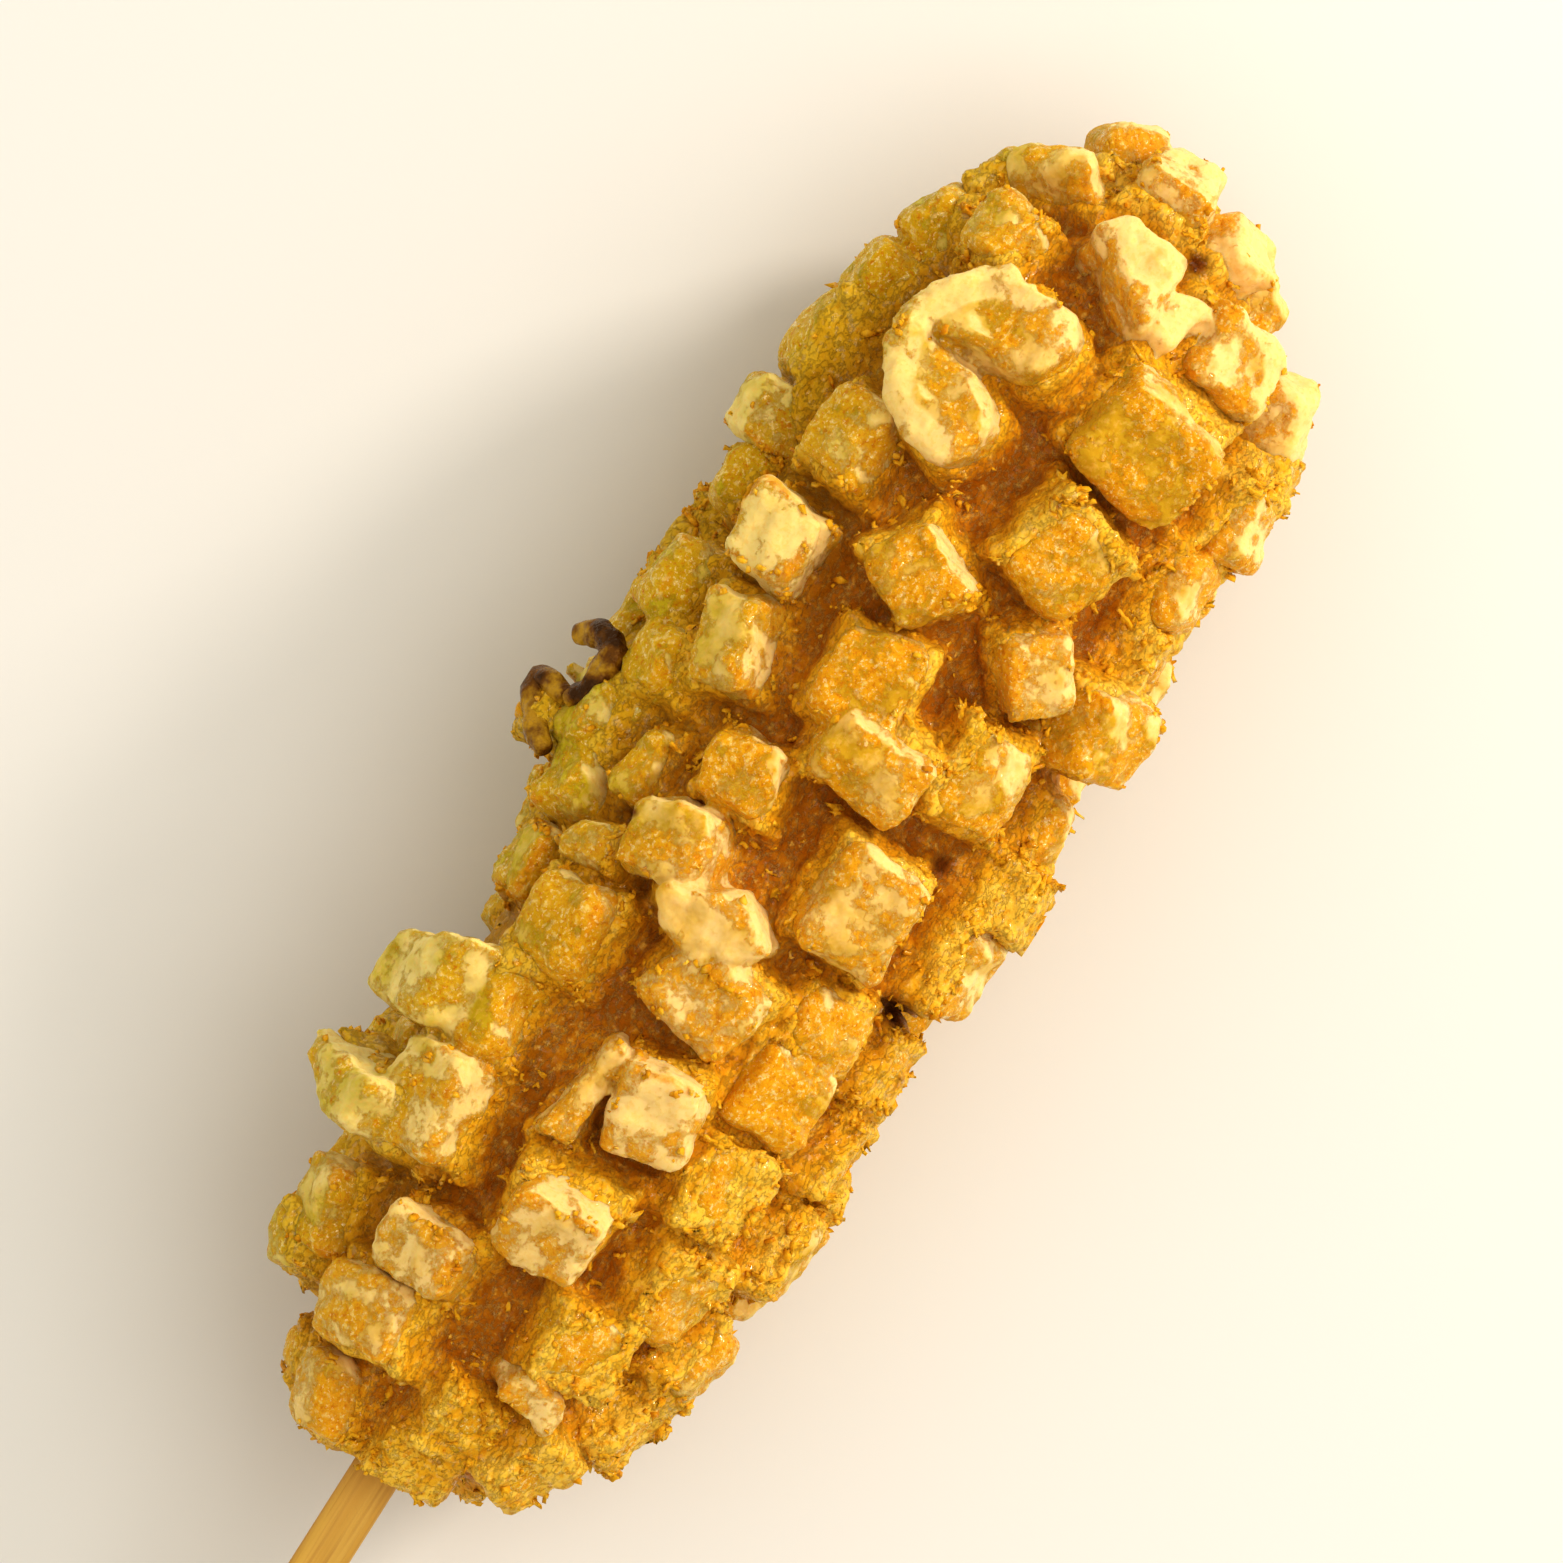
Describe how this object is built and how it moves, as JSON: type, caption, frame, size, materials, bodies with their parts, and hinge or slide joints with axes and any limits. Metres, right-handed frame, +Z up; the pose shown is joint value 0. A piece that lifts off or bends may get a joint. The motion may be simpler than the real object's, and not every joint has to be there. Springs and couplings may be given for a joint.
{
  "type": "corn dog",
  "caption": "Battered sausage on a flat wooden stick, rolled in diced potato and fried, with uneven dice standing out all round.",
  "frame": {"origin": "middle of the base of the whole part's box, on the surface it lies on", "axes": "+X along the stick from its bare end to the food's blunt tip, +Z up through the side shown in the picture"},
  "size_m": [0.2526, 0.0568, 0.053],
  "materials": {
    "fried_crust": "fried potato and batter, slightly oily",
    "stick_wood": "plain sawn wood"
  },
  "bodies": {
    "root": {"potato_crust": "fried_crust", "stick": "stick_wood"}
  },
  "joints": []
}
